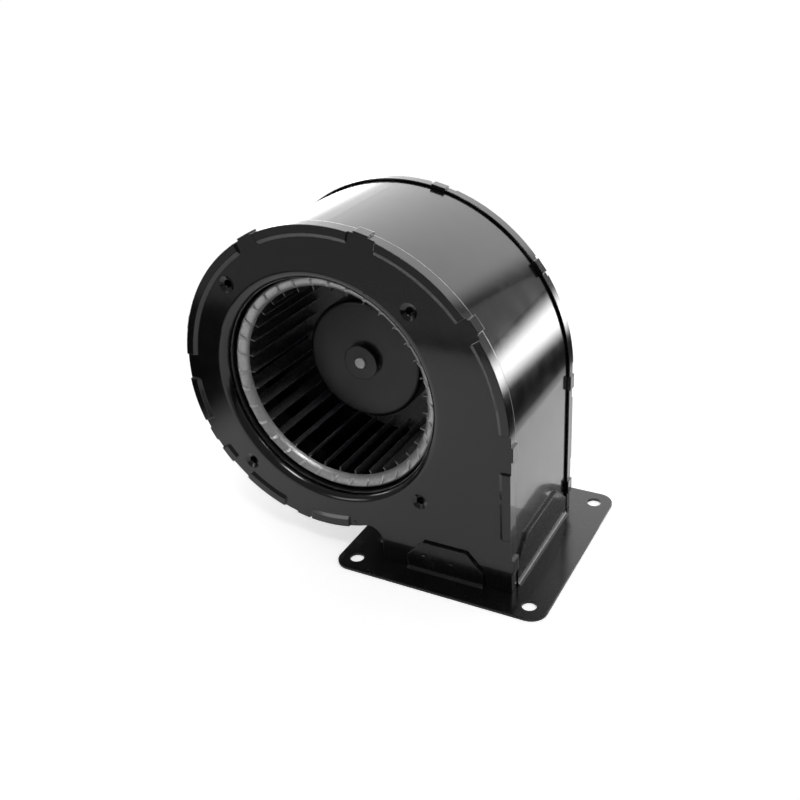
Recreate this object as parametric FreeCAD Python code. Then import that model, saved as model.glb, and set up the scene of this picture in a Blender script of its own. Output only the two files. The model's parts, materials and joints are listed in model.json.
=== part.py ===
import FreeCAD, Part
import math
import os

# Single-inlet centrifugal blower with a forward-curved impeller on an external-rotor motor.
# Frame: X runs along the inlet plate, +Y away from the inlet, +Z up.
# The origin is the centre of the flange's hole pattern, on the face that it seats on.

V = FreeCAD.Vector

# Cutting shapes run this far past the faces that they open
CUT_OVER = 1.0

# Housing: size of the duct with its plates, its place on the flange, and the sheet thicknesses
DUCT_W = 74.4
HOUSING_D = 86.2
DUCT_MID_X = 1.2
DUCT_MID_Y = -2.1
PLATE_T = 1.0
WALL_T = 1.0

# Impeller
IMPELLER_R = 60.0
BLADE_COUNT = 34
BLADE_DEPTH = 8.4
BLADE_ARC_R = 7.8
BLADE_TURN = 70.0
BLADE_LEAN = 25.0
BLADE_T = 0.5
BLADE_PHASE = 2.8
RING_W = 6.0
RING_RISE = 4.2
RING_BULGE = 0.9
RING_EDGE_R = 1.4
RING_T = 0.8
TAB_FROM = 0.55
TAB_TO = 0.85
TAB_SET = 0.8
TAB_SLOT_GAP = 0.05
BACK_PLATE_T = 1.0
COLLAR_T = 1.0
COLLAR_LEN = 7.0

# Scroll outline of the side plates: a vertical wall at the right, then three arcs whose
# radii leave these gaps outside the impeller's, and a small tongue arc back to the neck
SCROLL_GAP_A = 37.3
SCROLL_GAP_B = 32.1
SCROLL_GAP_C = 18.8
SCROLL_FOOT_Z = 15.7
TONGUE_R = 8.0

# Fan axis, parallel to Y: its place beside the first arc's centre and above the last one's
AXIS_SHIFT_X = -5.9
AXIS_SHIFT_Z = 2.2

# Seam between plate and scroll wall
SEAM_STEP = 1.2
SKIRT_T = 0.8
SKIRT_GAP = 0.1
INLET_SKIRT_DEPTH = 5.0
REAR_SKIRT_DEPTH = 3.6
MARGIN_W = 4.2
MARGIN_SLOPE = 2.0
MARGIN_H = 1.2
MARGIN_OVER = 0.2
MARGIN_UNDER = 0.1
LUG_LEN = 8.0
LUG_OUT = 1.0
LUG_OVERHANG = 0.8
LUG_GAP = 0.1

# Inlet nozzle pressed into the front plate, with the impeller's ring just inside its end
THROAT_GAP = 1.0
FLARE_R = 5.0
NOZZLE_LAND = 3.5
NOZZLE_LAP = 0.9

# Screw holes in dimples of the inlet plate, counted outwards from the nozzle's edge
INLET_SCREW_RIM = 8.25
INLET_HOLE_R = 2.1
DIMPLE_R = 4.5
DIMPLE_DEPTH = 1.2

# Outlet flange: mean width of its rim, holes at its corners, tabs turned up on the duct
FLANGE_RIM_X = 22.8
FLANGE_RIM_Y = 17.4
FLANGE_T = 1.5
FLANGE_CORNER_R = 9.0
BOLT_EDGE = 10.0
BOLT_HOLE_R = 3.8
DUCT_GAP = 0.1
TAB_BEND_R = 2.0
PLATE_TAB_SET = 15.3
PLATE_TAB_H = 20.0
PLATE_TAB_CUT_W = 9.5
PLATE_TAB_CUT_H = 10.2
WALL_TAB_SET = 7.5
WALL_TAB_H = 25.0
WALL_TAB_CUT_W = 14.0
WALL_TAB_CUT_H = 12.5
TONGUE_TAB_GAP = 2.4
TONGUE_TAB_CUT = 3.0

# Stator and rotor stacks share one length and one place
STACK_LEN = 25.0
STACK_CLEAR = 5.5
AIR_GAP = 0.4
STATOR_SLOTS = 12
SLOT_YOKE = 2.6
SLOT_DEPTH = 5.8
SLOT_RIM = 1.6
SLOT_W = 5.0
SLOT_MOUTH_W = 1.8
SLOT_LINER = 0.2
INSULATOR_T = 0.8
INSULATOR_RIM = 0.5
END_TURN_IN = 1.0
END_TURN_OUT = 0.2
END_TURN_H = 2.6
END_TURN_EDGE = 0.8
LAMINATION_W = 8.6
CAGE_RING_SET = 1.2
CAGE_RING_H = 2.0

# External rotor
ROTOR_WALL = 2.5
ROTOR_FACE_T = 3.0
ROTOR_EDGE_R = 2.5
ROTOR_BRACKET_GAP = 3.0
SHAFT_R = 3.5
SHAFT_PROUD = 0.6
SHAFT_CHAMFER = 0.5
SHAFT_TAIL = 2.2
HUB_WALL = 6.5
HUB_H = 3.6
HUB_SPIGOT_WALL = 3.5
HUB_NOSE_WALL = 1.5
HUB_NOSE_LEN = 4.5

# Bearings, 7 x 19 x 6 mm
BEARING_R = 9.5
BEARING_W = 6.0
SHOULDER_HALF_GAP = 1.1
BALL_R = 1.6
BALL_GAP = 0.05
BALL_COUNT = 7
CAGE_T = 0.7
CAGE_WEB = 0.7
CAGE_PRONG = 1.0
POCKET_GAP = 0.08
SHIELD_T = 0.3
SHIELD_GAP = 0.25

# Motor bracket
TUBE_WALL = 3.5
BEARING_STOP = 1.1
REAR_BEARING_SET = 9.0
SPRING_T = 0.8
SPRING_RIM = 0.2
CLIP_T = 0.8
CLIP_WALL = 1.5
CLIP_GROOVE = 0.4
CLIP_GAP = 2.0
BRACKET_T = 5.0
SPIGOT_WALL = 3.0
SPIGOT_FIT = 0.1
SHAFT_END_GAP = 1.0
MOTOR_SCREW_COUNT = 4
MOTOR_SCREW_SET = 4.5
MOTOR_SCREW_EDGE = 5.5
MOTOR_SCREW_R = 2.0
SCREW_HOLE_GAP = 0.25
SCREW_HEAD_R = 3.8
SCREW_HEAD_H = 2.6
SCREW_HEAD_ROUND = 1.04
SCREW_SOCKET_R = 1.6
SCREW_SOCKET_DEPTH = 1.3
SCREW_END_GAP = 0.5
SCREW_FLOOR = 1.0

# Cable grommet in the rear plate, beside the bracket
GROMMET_ANGLE = -60.0
GROMMET_SET = 1.0
GROMMET_LIP_R = 6.0
GROMMET_LIP = 1.25
GROMMET_LIP_T = 1.5
GROMMET_NOSE_T = 2.5
GROMMET_BORE_R = 3.0

# Outline of the duct and the scroll; the arcs' centres follow from tangency
INLET_FACE_Y = DUCT_MID_Y - HOUSING_D / 2
REAR_FACE_Y = DUCT_MID_Y + HOUSING_D / 2
NECK_LEFT_X = DUCT_MID_X - DUCT_W / 2
NECK_RIGHT_X = DUCT_MID_X + DUCT_W / 2
ARC_A_R = IMPELLER_R + SCROLL_GAP_A
ARC_B_R = IMPELLER_R + SCROLL_GAP_B
ARC_C_R = IMPELLER_R + SCROLL_GAP_C
ARC_C_Z = SCROLL_FOOT_Z + ARC_C_R
ARC_A = (NECK_RIGHT_X - ARC_A_R, ARC_C_Z - ARC_A_R + ARC_B_R)
ARC_B = (ARC_A[0], ARC_C_Z)
ARC_C = (ARC_B[0] - ARC_B_R + ARC_C_R, ARC_C_Z)
TONGUE_X = NECK_LEFT_X - TONGUE_R
TONGUE_Z = ARC_C_Z - math.sqrt((ARC_C_R + TONGUE_R) ** 2 - (TONGUE_X - ARC_C[0]) ** 2)
AXIS_X = ARC_A[0] + AXIS_SHIFT_X
AXIS_Z = ARC_C_Z + AXIS_SHIFT_Z

# Radii that follow from the pieces inside or around
THROAT_R = IMPELLER_R + THROAT_GAP
BLADE_INNER_R = IMPELLER_R - BLADE_DEPTH
RING_INNER_R = IMPELLER_R - RING_W
HUB_R = SHAFT_R + HUB_WALL
HUB_SPIGOT_R = SHAFT_R + HUB_SPIGOT_WALL
HUB_NOSE_R = SHAFT_R + HUB_NOSE_WALL
BALL_PITCH_R = (SHAFT_R + BEARING_R) / 2
SHOULDER_IN_R = BALL_PITCH_R - SHOULDER_HALF_GAP
SHOULDER_OUT_R = BALL_PITCH_R + SHOULDER_HALF_GAP
TUBE_R = BEARING_R + TUBE_WALL
TUBE_BORE_R = BEARING_R - BEARING_STOP
SLOT_ROOT_R = TUBE_R + SLOT_YOKE
SLOT_TOP_R = SLOT_ROOT_R + SLOT_DEPTH
STATOR_R = SLOT_TOP_R + SLOT_RIM
ROTOR_BORE_R = STATOR_R + AIR_GAP + LAMINATION_W
ROTOR_R = ROTOR_BORE_R + ROTOR_WALL
SPIGOT_R = TUBE_R + SPIGOT_WALL
MOTOR_SCREW_PITCH_R = SPIGOT_R + MOTOR_SCREW_SET
BRACKET_R = MOTOR_SCREW_PITCH_R + MOTOR_SCREW_EDGE
GROMMET_PITCH_R = BRACKET_R + GROMMET_SET + GROMMET_LIP_R
GROMMET_NECK_R = GROMMET_LIP_R - GROMMET_LIP

# Places along Y: the inlet end hangs on the inlet plate, the motor on the rear plate
INLET_INSIDE_Y = INLET_FACE_Y + PLATE_T
NOZZLE_END_Y = INLET_FACE_Y + FLARE_R + NOZZLE_LAND
RING_CREST_Y = NOZZLE_END_Y - NOZZLE_LAP
BLADE_FRONT_Y = RING_CREST_Y + RING_RISE
REAR_INSIDE_Y = REAR_FACE_Y - PLATE_T
BRACKET_Y = REAR_INSIDE_Y - BRACKET_T
ROTOR_END_Y = BRACKET_Y - ROTOR_BRACKET_GAP
BLADE_BACK_Y = ROTOR_END_Y - BACK_PLATE_T
STACK_END_Y = ROTOR_END_Y - CAGE_RING_H
STACK_Y = STACK_END_Y - STACK_LEN
ROTOR_INSIDE_Y = STACK_Y - STACK_CLEAR
ROTOR_FACE_Y = ROTOR_INSIDE_Y - ROTOR_FACE_T
FRONT_BEARING_Y = ROTOR_INSIDE_Y + HUB_NOSE_LEN
REAR_BEARING_Y = BRACKET_Y - REAR_BEARING_SET
CLIP_Y = REAR_BEARING_Y + BEARING_W
SHAFT_END_Y = CLIP_Y + SHAFT_TAIL

# Seam lugs: arc centre, arc radius, angle from +X towards +Z
INLET_TOP_LUG = (ARC_B, ARC_B_R, 118.3)
LUGS_ON_ARCS = [
    (ARC_B, ARC_B_R, 161.6),
    (ARC_C, ARC_C_R, 208.8),
    (ARC_C, ARC_C_R, 259.7),
    (ARC_A, ARC_A_R, 76.0),
    (ARC_A, ARC_A_R, 35.8),
]
LUG_UNDER_ARC = 6.0
LOW_LUG_Z = 17.5

# Places where the raised margin stops: as above, with half the length that stays flat
MARGIN_STOPS = [
    (ARC_B, ARC_B_R, 118.3, 7.0),
    (ARC_B, ARC_B_R, 178.0, 7.5),
    (ARC_C, ARC_C_R, 208.8, 9.0),
    (ARC_C, ARC_C_R, 227.0, 6.0),
    (ARC_C, ARC_C_R, 257.5, 9.0),
    (ARC_A, ARC_A_R, 75.5, 7.5),
    (ARC_A, ARC_A_R, 35.5, 6.0),
]
RIGHT_STOP_UNDER_ARC = 6.5
RIGHT_STOP_HALF = 10.5
MARGIN_FOOT_Z = 34.0
TONGUE_BARE = 20.0


def polar(centre, radius, degrees):
    angle = math.radians(degrees)
    return centre[0] + radius * math.cos(angle), centre[1] + radius * math.sin(angle)


def arc_edge(centre, radius, start, end, y):
    points = [polar(centre, radius, a) for a in (start, (start + end) / 2, end)]
    return Part.Arc(*[V(x, y, z) for x, z in points]).toShape()


def line_edge(a, b, y):
    return Part.LineSegment(V(a[0], y, a[1]), V(b[0], y, b[1])).toShape()


def scroll_wire(inset, y, bottom_z=0.0):
    """Outline of the scroll and its neck, moved inwards by inset."""
    left = NECK_LEFT_X + inset
    right = NECK_RIGHT_X - inset
    tongue = (TONGUE_X, TONGUE_Z)
    leave = math.degrees(math.atan2(tongue[1] - ARC_C[1], tongue[0] - ARC_C[0]))
    tongue_r = TONGUE_R + inset
    radius_c = ARC_C_R - inset
    edges = [
        line_edge((left, bottom_z), (left, tongue[1]), y),
        arc_edge(tongue, tongue_r, 0.0, leave + 180.0, y),
        arc_edge(ARC_C, radius_c, leave, -180.0, y),
        arc_edge(ARC_B, ARC_B_R - inset, 180.0, 90.0, y),
        arc_edge(ARC_A, ARC_A_R - inset, 90.0, 0.0, y),
        line_edge((right, ARC_A[1]), (right, bottom_z), y),
        line_edge((right, bottom_z), (left, bottom_z), y),
    ]
    return Part.Wire(edges)


def scroll_prism(inset, y0, y1, bottom_z=0.0):
    return Part.Face(scroll_wire(inset, y0, bottom_z)).extrude(V(0, y1 - y0, 0))


def scroll_band(outer, inner, y0, y1):
    """Band between two insets, open at the duct's mouth."""
    return scroll_prism(outer, y0, y1).cut(scroll_prism(inner, y0, y1, -CUT_OVER))


def turned(profile):
    """Body turned about the fan axis from (radius, y) points; a third value bends the next edge."""
    edges = []
    count = len(profile)
    for i, point in enumerate(profile):
        nxt = profile[(i + 1) % count]
        a = V(point[0], point[1], 0)
        b = V(nxt[0], nxt[1], 0)
        if len(point) > 2:
            edges.append(Part.Arc(a, V(point[2][0], point[2][1], 0), b).toShape())
        else:
            edges.append(Part.LineSegment(a, b).toShape())
    body = Part.Face(Part.Wire(edges)).revolve(V(0, 0, 0), V(0, 1, 0), 360)
    body.translate(V(AXIS_X, 0, AXIS_Z))
    return body


def sleeve(inner_r, outer_r, y0, y1):
    return turned([(inner_r, y0), (outer_r, y0), (outer_r, y1), (inner_r, y1)])


def drum(radius, y0, y1, x=AXIS_X, z=AXIS_Z):
    return Part.makeCylinder(radius, y1 - y0, V(x, y0, z), V(0, 1, 0))


def quarter(centre, radius, degrees):
    """Middle point of a rounded corner in the (radius, y) plane."""
    return polar(centre, radius, degrees)


def about_axis(shape, degrees):
    """Copy turned about the fan axis, counted from +X towards +Z."""
    copy = shape.copy()
    copy.rotate(V(AXIS_X, 0, AXIS_Z), V(0, 1, 0), -degrees)
    return copy


def edge_block(centre, radius, degrees, half_len, inner, outer, y0, y1):
    """Block on the outline, from inner to outer along the outline's normal."""
    block = Part.makeBox(outer - inner, y1 - y0, 2 * half_len, V(radius + inner, y0, -half_len))
    block.rotate(V(0, 0, 0), V(0, 1, 0), -degrees)
    block.translate(V(centre[0], 0, centre[1]))
    return block


def margin_stops(y0, y1):
    """Blocks that take the raised margin away at the lugs and at the duct's mouth."""
    depth = MARGIN_W + MARGIN_SLOPE + CUT_OVER
    blocks = [edge_block(c, r, a, half, -depth, CUT_OVER, y0, y1) for c, r, a, half in MARGIN_STOPS]
    middle = (NECK_RIGHT_X, ARC_A[1] - RIGHT_STOP_UNDER_ARC)
    blocks.append(edge_block(middle, 0.0, 0.0, RIGHT_STOP_HALF, -depth, CUT_OVER, y0, y1))
    foot = V(NECK_LEFT_X - TONGUE_BARE, y0, -CUT_OVER)
    width = NECK_RIGHT_X - foot.x + CUT_OVER
    blocks.append(Part.makeBox(width, y1 - y0, MARGIN_FOOT_Z + CUT_OVER, foot))
    return blocks


def raised_margin(face_y, outward):
    """Raised edge band with a sloping inner side; outward is -1 at the inlet and +1 at the rear."""
    top_y = face_y + outward * MARGIN_H
    low_y, high_y = sorted((face_y, top_y))
    band = scroll_prism(0.0, low_y, high_y)
    slope = MARGIN_SLOPE / MARGIN_H
    top_inset = MARGIN_W - MARGIN_OVER * slope
    foot_inset = MARGIN_W + MARGIN_SLOPE + MARGIN_UNDER * slope
    top = scroll_wire(top_inset, top_y + outward * MARGIN_OVER, -CUT_OVER)
    foot = scroll_wire(foot_inset, face_y - outward * MARGIN_UNDER, -CUT_OVER)
    pocket = Part.makeLoft([foot, top], True, True)
    band = band.cut(pocket)
    for block in margin_stops(low_y - CUT_OVER, high_y + CUT_OVER):
        band = band.cut(block)
    return band


def lugs(places, y0, y1):
    """Folded lugs that grip the scroll wall's flange, from the plate's face over the skirt."""
    inner = -(SEAM_STEP - LUG_GAP)
    half = LUG_LEN / 2
    blocks = [edge_block(c, r, a, half, inner, LUG_OUT, y0, y1) for c, r, a in places]
    for z in (ARC_A[1] - LUG_UNDER_ARC, LOW_LUG_Z):
        blocks.append(edge_block((NECK_RIGHT_X, z), 0.0, 0.0, half, inner, LUG_OUT, y0, y1))
    return blocks


def side_plate(face_y, outward, skirt_depth, lug_places):
    """Flat plate with its skirt, raised margin and lugs."""
    inside_y = face_y - outward * PLATE_T
    skirt_y = inside_y - outward * skirt_depth
    plate = scroll_prism(0.0, min(face_y, inside_y), max(face_y, inside_y))
    plate = plate.fuse(scroll_band(0.0, SKIRT_T, min(inside_y, skirt_y), max(inside_y, skirt_y)))
    plate = plate.fuse(raised_margin(face_y, outward))
    lug_y = skirt_y - outward * LUG_OVERHANG
    for block in lugs(lug_places, min(face_y, lug_y), max(face_y, lug_y)):
        plate = plate.fuse(block)
    flange_y = inside_y - outward * (WALL_T + LUG_GAP)
    groove = scroll_band(SKIRT_T, SEAM_STEP + WALL_T, min(inside_y, flange_y), max(inside_y, flange_y))
    return plate.cut(groove).removeSplitter()


def inlet_side_plate():
    """Plate with the pressed inlet nozzle and four dimpled screw holes."""
    plate = side_plate(INLET_FACE_Y, -1, INLET_SKIRT_DEPTH, [INLET_TOP_LUG] + LUGS_ON_ARCS)
    mouth_r = THROAT_R + FLARE_R
    bend_y = INLET_FACE_Y + FLARE_R
    back_r = FLARE_R - PLATE_T
    plate = plate.cut(drum(mouth_r, INLET_FACE_Y - CUT_OVER, INLET_INSIDE_Y + CUT_OVER))
    centre = (mouth_r, bend_y)
    nozzle = turned([
        (mouth_r, INLET_FACE_Y, quarter(centre, FLARE_R, 225)),
        (THROAT_R, bend_y),
        (THROAT_R, NOZZLE_END_Y),
        (THROAT_R + PLATE_T, NOZZLE_END_Y),
        (THROAT_R + PLATE_T, bend_y, quarter(centre, back_r, 225)),
        (mouth_r, INLET_INSIDE_Y),
    ])
    plate = plate.fuse(nozzle)
    half = (mouth_r + INLET_SCREW_RIM) * math.sqrt(0.5)
    for x in (AXIS_X - half, AXIS_X + half):
        for z in (AXIS_Z - half, AXIS_Z + half):
            start = V(x, INLET_FACE_Y, z)
            back = V(x, INLET_INSIDE_Y, z)
            bulge = Part.makeCone(DIMPLE_R, INLET_HOLE_R + PLATE_T, DIMPLE_DEPTH, back, V(0, 1, 0))
            dish = Part.makeCone(DIMPLE_R, INLET_HOLE_R, DIMPLE_DEPTH, start, V(0, 1, 0))
            hole_end = INLET_INSIDE_Y + DIMPLE_DEPTH + CUT_OVER
            hole = drum(INLET_HOLE_R, INLET_FACE_Y - CUT_OVER, hole_end, x, z)
            plate = plate.fuse(bulge).cut(dish).cut(hole)
    return plate.removeSplitter()


def motor_screw_places():
    step = 360.0 / MOTOR_SCREW_COUNT
    angles = [step * (i + 0.5) for i in range(MOTOR_SCREW_COUNT)]
    return [polar((AXIS_X, AXIS_Z), MOTOR_SCREW_PITCH_R, a) for a in angles]


def screw_tip_y():
    return BRACKET_Y + SCREW_FLOOR


def rear_side_plate():
    """Plate that carries the motor: centring hole, four screw holes and the grommet's hole."""
    plate = side_plate(REAR_FACE_Y, 1, REAR_SKIRT_DEPTH, LUGS_ON_ARCS)
    y0 = REAR_INSIDE_Y - CUT_OVER
    y1 = REAR_FACE_Y + CUT_OVER
    plate = plate.cut(drum(SPIGOT_R + SPIGOT_FIT, y0, y1))
    for x, z in motor_screw_places():
        plate = plate.cut(drum(MOTOR_SCREW_R + SCREW_HOLE_GAP, y0, y1, x, z))
    x, z = polar((AXIS_X, AXIS_Z), GROMMET_PITCH_R, GROMMET_ANGLE)
    return plate.cut(drum(GROMMET_NECK_R, y0, y1, x, z)).removeSplitter()


def scroll_wall():
    """Sheet wrapped from the tongue round the scroll, with a turned-out flange along each edge."""
    edge = SKIRT_T + SKIRT_GAP
    middle = SEAM_STEP + WALL_T / 2
    wall = scroll_band(SEAM_STEP, SEAM_STEP + WALL_T, INLET_INSIDE_Y, REAR_INSIDE_Y)
    front = scroll_band(edge, middle, INLET_INSIDE_Y, INLET_INSIDE_Y + WALL_T)
    rear = scroll_band(edge, middle, REAR_INSIDE_Y - WALL_T, REAR_INSIDE_Y)
    return wall.fuse(front).fuse(rear).removeSplitter()


def upright_tab(half_w, height, cut_w, cut_h):
    """Tab in the X-Z plane with cut corners and a rounded bend at its foot on the -Y side."""
    side = [(half_w, 0), (half_w, height - cut_h), (half_w - cut_w, height)]
    points = side + [(-x, z) for x, z in reversed(side)] + side[:1]
    sheet = Part.Face(Part.makePolygon([V(x, 0, z) for x, z in points]))
    reach = TAB_BEND_R + FLANGE_T
    foot = Part.makeBox(2 * half_w, reach, reach, V(-half_w, -reach, 0))
    hollow = Part.makeCylinder(TAB_BEND_R, 2 * half_w, V(-half_w, -reach, reach), V(1, 0, 0))
    return sheet.extrude(V(0, -FLANGE_T, 0)).fuse(foot.cut(hollow))


def outlet_flange():
    """Flange plate with rounded corners, four holes and tabs turned up against the duct."""
    length = DUCT_W + 2 * FLANGE_RIM_X
    depth = HOUSING_D + 2 * FLANGE_RIM_Y
    plate = Part.makeBox(length, depth, FLANGE_T, V(-length / 2, -depth / 2, 0))
    corners = [e for e in plate.Edges if abs(e.tangentAt(e.FirstParameter).z) > 0.9]
    plate = plate.makeFillet(FLANGE_CORNER_R, corners)
    corner = V(NECK_LEFT_X - DUCT_GAP, INLET_FACE_Y - DUCT_GAP, -CUT_OVER)
    through = FLANGE_T + 2 * CUT_OVER
    plate = plate.cut(Part.makeBox(DUCT_W + 2 * DUCT_GAP, HOUSING_D + 2 * DUCT_GAP, through, corner))
    half_w = DUCT_W / 2 - PLATE_TAB_SET
    front = upright_tab(half_w, PLATE_TAB_H, PLATE_TAB_CUT_W, PLATE_TAB_CUT_H)
    rear = front.copy()
    front.translate(V(DUCT_MID_X, INLET_FACE_Y, 0))
    rear.rotate(V(0, 0, 0), V(0, 0, 1), 180)
    rear.translate(V(DUCT_MID_X, REAR_FACE_Y, 0))
    half_w = HOUSING_D / 2 - WALL_TAB_SET
    right = upright_tab(half_w, WALL_TAB_H, WALL_TAB_CUT_W, WALL_TAB_CUT_H)
    right.rotate(V(0, 0, 0), V(0, 0, 1), 90)
    right.translate(V(NECK_RIGHT_X - SEAM_STEP, DUCT_MID_Y, 0))
    left = upright_tab(half_w, TONGUE_Z - TONGUE_TAB_GAP, TONGUE_TAB_CUT, TONGUE_TAB_CUT)
    left.rotate(V(0, 0, 0), V(0, 0, 1), -90)
    left.translate(V(NECK_LEFT_X + SEAM_STEP, DUCT_MID_Y, 0))
    for tab in (front, rear, right, left):
        plate = plate.fuse(tab)
    for x in (BOLT_EDGE - length / 2, length / 2 - BOLT_EDGE):
        for y in (BOLT_EDGE - depth / 2, depth / 2 - BOLT_EDGE):
            plate = plate.cut(Part.makeCylinder(BOLT_HOLE_R, through, V(x, y, -CUT_OVER)))
    return plate.removeSplitter()


def blade_section(start, end, thicken=0.0):
    """Slice of one blade's curved section; start and end are shares of its arc, inner edge to tip."""
    half = BLADE_TURN / 2
    chord_dir = math.radians(BLADE_LEAN)
    chord = 2 * BLADE_ARC_R * math.sin(math.radians(half))
    middle = (BLADE_INNER_R + chord / 2 * math.cos(chord_dir), chord / 2 * math.sin(chord_dir))
    reach = BLADE_ARC_R * math.cos(math.radians(half))
    centre = (middle[0] - reach * math.sin(chord_dir), middle[1] + reach * math.cos(chord_dir))
    first = -90 + BLADE_LEAN - half
    angles = [first + BLADE_TURN * s for s in (start, (start + end) / 2, end)]
    grow = BLADE_T / 2 + thicken
    inner = [polar(centre, BLADE_ARC_R - grow, a) for a in angles]
    outer = [polar(centre, BLADE_ARC_R + grow, a) for a in angles]
    corners = [[V(r + AXIS_X, 0, AXIS_Z - t) for r, t in side] for side in (inner, outer)]
    return Part.Face(Part.Wire([
        Part.Arc(*corners[0]).toShape(),
        Part.LineSegment(corners[0][2], corners[1][2]).toShape(),
        Part.Arc(*reversed(corners[1])).toShape(),
        Part.LineSegment(corners[1][0], corners[0][0]).toShape(),
    ]))


def blade_angles():
    return [BLADE_PHASE + 360.0 / BLADE_COUNT * i for i in range(BLADE_COUNT)]


def impeller_blades():
    """Forward-curved blades; each has a narrow tab that passes through the front ring."""
    body = blade_section(0.0, 1.0)
    body.translate(V(0, BLADE_FRONT_Y, 0))
    body = body.extrude(V(0, BLADE_BACK_Y - BLADE_FRONT_Y, 0))
    tab_y = RING_CREST_Y + TAB_SET
    tab = blade_section(TAB_FROM, TAB_TO)
    tab.translate(V(0, tab_y, 0))
    tab = tab.extrude(V(0, BLADE_FRONT_Y - tab_y, 0))
    blade = body.fuse(tab).removeSplitter()
    return Part.makeCompound([about_axis(blade, a) for a in blade_angles()])


def bulged(a, b, rise):
    """Middle point of an arc from a to b that bulges towards the inlet and the axis."""
    run = math.hypot(b[0] - a[0], b[1] - a[1])
    middle = ((a[0] + b[0]) / 2, (a[1] + b[1]) / 2)
    return middle[0] + rise * (b[1] - a[1]) / run, middle[1] - rise * (b[0] - a[0]) / run


def impeller_front_ring():
    """Bulged ring that slopes from its rim to the eye, with one slot for each blade's tab."""
    foot_y = BLADE_FRONT_Y
    rim_y = RING_CREST_Y + RING_EDGE_R
    shoulder = (IMPELLER_R - RING_EDGE_R, RING_CREST_Y)
    eye = (RING_INNER_R, foot_y)
    under_shoulder = (shoulder[0], RING_CREST_Y + RING_T)
    under_eye = (RING_INNER_R + RING_T, foot_y)
    edge = (shoulder[0], rim_y)
    ring = turned([
        (eye[0], eye[1], bulged(eye, shoulder, RING_BULGE)),
        (shoulder[0], shoulder[1], quarter(edge, RING_EDGE_R, -45)),
        (IMPELLER_R, rim_y),
        (IMPELLER_R, foot_y),
        (IMPELLER_R - RING_T, foot_y),
        (IMPELLER_R - RING_T, rim_y, quarter(edge, RING_EDGE_R - RING_T, -45)),
        (under_shoulder[0], under_shoulder[1], bulged(under_eye, under_shoulder, RING_BULGE)),
        under_eye,
    ])
    slot = blade_section(TAB_FROM, TAB_TO, TAB_SLOT_GAP)
    slot.translate(V(0, RING_CREST_Y - CUT_OVER, 0))
    slot = slot.extrude(V(0, RING_RISE + CUT_OVER, 0))
    return ring.cut(Part.makeCompound([about_axis(slot, a) for a in blade_angles()]))


def impeller_back_plate():
    """Annular plate behind the blades with a collar pressed on the rotor."""
    return turned([
        (ROTOR_R, ROTOR_END_Y - COLLAR_LEN),
        (ROTOR_R + COLLAR_T, ROTOR_END_Y - COLLAR_LEN),
        (ROTOR_R + COLLAR_T, BLADE_BACK_Y),
        (IMPELLER_R, BLADE_BACK_Y),
        (IMPELLER_R, ROTOR_END_Y),
        (ROTOR_R, ROTOR_END_Y),
    ])


def rotor_can():
    """Cup of the external rotor, open to the rear, with a rounded front edge."""
    edge = (ROTOR_R - ROTOR_EDGE_R, ROTOR_FACE_Y + ROTOR_EDGE_R)
    return turned([
        (HUB_SPIGOT_R, ROTOR_FACE_Y),
        (edge[0], ROTOR_FACE_Y, quarter(edge, ROTOR_EDGE_R, -45)),
        (ROTOR_R, edge[1]),
        (ROTOR_R, ROTOR_END_Y),
        (ROTOR_BORE_R, ROTOR_END_Y),
        (ROTOR_BORE_R, ROTOR_INSIDE_Y),
        (HUB_SPIGOT_R, ROTOR_INSIDE_Y),
    ])


def rotor_hub():
    """Bush that joins can and shaft: boss in front, nose against the front bearing."""
    return turned([
        (SHAFT_R, ROTOR_FACE_Y - HUB_H),
        (HUB_R, ROTOR_FACE_Y - HUB_H),
        (HUB_R, ROTOR_FACE_Y),
        (HUB_SPIGOT_R, ROTOR_FACE_Y),
        (HUB_SPIGOT_R, ROTOR_INSIDE_Y),
        (HUB_NOSE_R, ROTOR_INSIDE_Y),
        (HUB_NOSE_R, FRONT_BEARING_Y),
        (SHAFT_R, FRONT_BEARING_Y),
    ])


def rotor_shaft():
    """Shaft with chamfered ends and the groove of its retaining ring."""
    front = ROTOR_FACE_Y - HUB_H - SHAFT_PROUD
    return turned([
        (0, front),
        (SHAFT_R - SHAFT_CHAMFER, front),
        (SHAFT_R, front + SHAFT_CHAMFER),
        (SHAFT_R, CLIP_Y),
        (SHAFT_R - CLIP_GROOVE, CLIP_Y),
        (SHAFT_R - CLIP_GROOVE, CLIP_Y + CLIP_T),
        (SHAFT_R, CLIP_Y + CLIP_T),
        (SHAFT_R, SHAFT_END_Y - SHAFT_CHAMFER),
        (SHAFT_R - SHAFT_CHAMFER, SHAFT_END_Y),
        (0, SHAFT_END_Y),
    ])


def retaining_ring():
    """Open ring in the shaft's groove, behind the rear bearing."""
    outer_r = SHAFT_R + CLIP_WALL
    ring = sleeve(SHAFT_R - CLIP_GROOVE, outer_r, CLIP_Y, CLIP_Y + CLIP_T)
    corner = V(AXIS_X, CLIP_Y - CUT_OVER, AXIS_Z - CLIP_GAP / 2)
    return ring.cut(Part.makeBox(outer_r + CUT_OVER, CLIP_T + 2 * CUT_OVER, CLIP_GAP, corner))


def rotor_laminations():
    return sleeve(STATOR_R + AIR_GAP, ROTOR_BORE_R, STACK_Y, STACK_END_Y)


def rotor_end_rings():
    """Two cast rings that close the rotor's cage at the ends of its stack."""
    inner_r = STATOR_R + AIR_GAP + CAGE_RING_SET
    front = sleeve(inner_r, ROTOR_BORE_R, STACK_Y - CAGE_RING_H, STACK_Y)
    rear = sleeve(inner_r, ROTOR_BORE_R, STACK_END_Y, STACK_END_Y + CAGE_RING_H)
    return Part.makeCompound([front, rear])


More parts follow.
